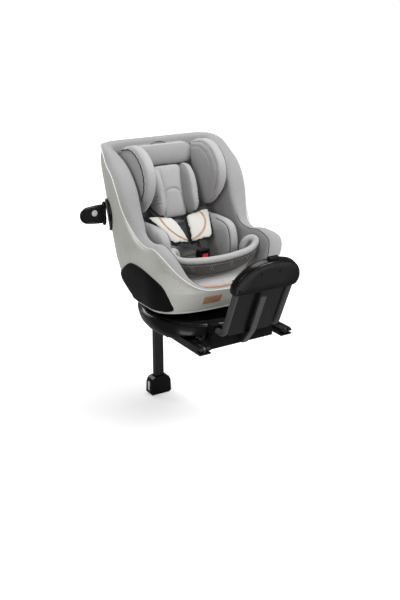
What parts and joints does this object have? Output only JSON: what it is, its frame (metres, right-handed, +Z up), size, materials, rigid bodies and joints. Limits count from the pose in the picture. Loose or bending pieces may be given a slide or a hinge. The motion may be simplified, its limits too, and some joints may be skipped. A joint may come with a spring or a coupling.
{
  "type": "convertible car seat",
  "caption": "Rotating child car seat: padded tub with infant insert on a turntable base with anchor arms, support leg and a leaning anti-rebound panel.",
  "frame": {"origin": "turntable axis at the underside of the base tray", "axes": "+Z up, the seated child faces -Y in the rest pose, the anchor arms point along -Y and the support leg stands at +Y; +X is to the right when looking along +Y"},
  "size_m": [0.5505, 0.671, 0.879],
  "materials": {
    "cover_fabric": "heathered knit, light warm grey",
    "liner_fabric": "smooth knit, mid grey",
    "insert_fabric": "smooth knit, mid grey",
    "cushion_fabric": "heathered knit, light grey",
    "collar_fabric": "ribbed knit, light lip over a taupe skirt",
    "pad_fabric": "off-white quilted pad with a copper stripe",
    "webbing": "ribbed polyester webbing",
    "copper_leather": "copper leatherette",
    "gloss_black": "moulded, high gloss",
    "satin_black": "moulded, satin",
    "matte_black": "moulded, fine texture",
    "dark_shell": "moulded, matt",
    "tube_grey": "powder coated steel tube",
    "leg_grey": "anodised aluminium section",
    "bright_steel": "zinc plated",
    "button_grey": "moulded, light grey",
    "button_red": "moulded red",
    "window_clear": "pale indicator lens"
  },
  "bodies": {
    "base": {"base_tray": "matte_black", "base_cover": "gloss_black", "bearing_ring": "button_grey", "isofix_guides": "matte_black", "rebound_sockets": "matte_black", "leg_bracket": "matte_black", "leg_pin": "bright_steel"},
    "isofix_left": {"isofix_arm_left": "satin_black"},
    "isofix_right": {"isofix_arm_right": "satin_black"},
    "hook_left": {"isofix_hook_left": "bright_steel"},
    "hook_right": {"isofix_hook_right": "bright_steel"},
    "arm_button_left": {"isofix_button_left": "matte_black"},
    "arm_button_right": {"isofix_button_right": "matte_black"},
    "rebound": {"rebound_tubes": "tube_grey", "rebound_panel": "satin_black", "rebound_lower_panel": "satin_black", "rebound_stay": "tube_grey", "panel_screws": "matte_black"},
    "rebound_button": {"rebound_button": "matte_black"},
    "leg": {"leg_outer_tube": "leg_grey"},
    "leg_inner": {"leg_inner_tube": "bright_steel", "leg_foot": "satin_black", "foot_window": "window_clear"},
    "leg_button": {"leg_button": "matte_black"},
    "turntable": {"turntable_plate": "gloss_black", "recline_rails": "matte_black"},
    "recline_handle": {"recline_handle": "matte_black"},
    "seat": {"shell_cover": "cover_fabric", "seat_shell": "dark_shell", "seat_liner": "liner_fabric", "shell_trim": "cover_fabric", "side_shields": "matte_black", "front_label": "copper_leather", "seat_cushion": "cushion_fabric", "cushion_band": "copper_leather", "pod_collars": "gloss_black", "insert_back_pad": "insert_fabric", "insert_sides": "insert_fabric", "insert_collar": "collar_fabric", "shoulder_pad_right": "pad_fabric", "shoulder_pad_left": "pad_fabric", "shoulder_straps": "webbing", "harness_tongues": "matte_black", "buckle_body": "matte_black", "crotch_strap": "webbing", "adjuster_strap": "webbing"},
    "pod_left": {"pod_left": "gloss_black"},
    "pod_right": {"pod_right": "gloss_black"},
    "pod_button_left": {"pod_button_left": "button_grey"},
    "pod_button_right": {"pod_button_right": "button_grey"},
    "headrest": {"headrest_plate": "dark_shell", "headrest_roll": "insert_fabric", "headrest_wing_right": "liner_fabric", "headrest_wing_left": "liner_fabric", "head_insert_pad": "insert_fabric", "head_insert_wings": "insert_fabric"},
    "headrest_handle": {"headrest_handle": "matte_black"},
    "buckle_button": {"buckle_button": "button_red"},
    "adjuster_button": {"adjuster_button": "matte_black"}
  },
  "joints": [
    {"name": "seat_spin", "type": "hinge", "parent": "base", "child": "turntable", "pos_m": [0, 0, 0.05], "axis": [0, 0, 1], "continuous": true},
    {"name": "seat_recline", "type": "hinge", "parent": "turntable", "child": "seat", "pos_m": [0, 0, 0.33], "axis": [1, 0, 0], "range_deg": [-10, 8], "stiffness_Nm_per_rad": 150, "springref_deg": 4.01},
    {"name": "recline_pull", "type": "slide", "parent": "turntable", "child": "recline_handle", "axis": [0, -1, 0], "range_m": [0, 0.008], "stiffness_N_per_m": 150, "springref_m": -0.003},
    {"name": "headrest_slide", "type": "slide", "parent": "seat", "child": "headrest", "axis": [0, 0.309, 0.9511], "range_m": [0, 0.16]},
    {"name": "headrest_release", "type": "slide", "parent": "headrest", "child": "headrest_handle", "axis": [0, 0.309, 0.9511], "range_m": [0, 0.006], "stiffness_N_per_m": 150, "springref_m": -0.003},
    {"name": "pod_left_fold", "type": "hinge", "parent": "seat", "child": "pod_left", "pos_m": [-0.233, 0.18, 0.33], "axis": [0, 0, 1], "range_deg": [-88, 0]},
    {"name": "pod_right_fold", "type": "hinge", "parent": "seat", "child": "pod_right", "pos_m": [0.233, 0.18, 0.33], "axis": [0, 0, 1], "range_deg": [-88, 0]},
    {"name": "pod_left_press", "type": "slide", "parent": "pod_left", "child": "pod_button_left", "axis": [0, 1, 0], "range_m": [0, 0.0015], "stiffness_N_per_m": 100, "springref_m": -0.002},
    {"name": "pod_right_press", "type": "slide", "parent": "pod_right", "child": "pod_button_right", "axis": [-1, 0, 0], "range_m": [0, 0.0015], "stiffness_N_per_m": 100, "springref_m": -0.002},
    {"name": "isofix_left_slide", "type": "slide", "parent": "base", "child": "isofix_left", "axis": [0, 1, 0], "range_m": [0, 0.09]},
    {"name": "isofix_right_slide", "type": "slide", "parent": "base", "child": "isofix_right", "axis": [0, 1, 0], "range_m": [0, 0.09]},
    {"name": "hook_left_turn", "type": "hinge", "parent": "isofix_left", "child": "hook_left", "pos_m": [-0.14, -0.205, 0.019], "axis": [1, 0, 0], "range_deg": [-35, 0], "stiffness_Nm_per_rad": 0.05, "springref_deg": 17.19},
    {"name": "hook_right_turn", "type": "hinge", "parent": "isofix_right", "child": "hook_right", "pos_m": [0.14, -0.205, 0.019], "axis": [1, 0, 0], "range_deg": [-35, 0], "stiffness_Nm_per_rad": 0.05, "springref_deg": 17.19},
    {"name": "arm_left_press", "type": "slide", "parent": "isofix_left", "child": "arm_button_left", "axis": [0, 0, -1], "range_m": [0, 0.0018], "stiffness_N_per_m": 100, "springref_m": -0.002},
    {"name": "arm_right_press", "type": "slide", "parent": "isofix_right", "child": "arm_button_right", "axis": [0, 0, -1], "range_m": [0, 0.0018], "stiffness_N_per_m": 100, "springref_m": -0.002},
    {"name": "rebound_pull_out", "type": "slide", "parent": "base", "child": "rebound", "axis": [0, -1, 0], "range_m": [0, 0.1]},
    {"name": "rebound_press", "type": "slide", "parent": "rebound", "child": "rebound_button", "axis": [0, 0.392, -0.92], "range_m": [0, 0.004], "stiffness_N_per_m": 100, "springref_m": -0.002},
    {"name": "leg_fold", "type": "hinge", "parent": "base", "child": "leg", "pos_m": [0, 0.285, -0.014], "axis": [1, 0, 0], "range_deg": [-80, 0]},
    {"name": "leg_extend", "type": "slide", "parent": "leg", "child": "leg_inner", "axis": [0, 0, -1], "range_m": [0, 0.12], "stiffness_N_per_m": 100, "springref_m": -0.08},
    {"name": "leg_press", "type": "slide", "parent": "leg", "child": "leg_button", "axis": [0, -1, 0], "range_m": [0, 0.0015], "stiffness_N_per_m": 100, "springref_m": -0.002},
    {"name": "buckle_press", "type": "slide", "parent": "seat", "child": "buckle_button", "axis": [0, 1, 0], "range_m": [0, 0.002], "stiffness_N_per_m": 100, "springref_m": -0.002},
    {"name": "adjuster_press", "type": "slide", "parent": "seat", "child": "adjuster_button", "axis": [0, 0, -1], "range_m": [0, 0.004], "stiffness_N_per_m": 100, "springref_m": -0.002}
  ],
  "couplings": [
    {"joint": "isofix_right_slide", "follows": "isofix_left_slide", "ratio": 1}
  ]
}
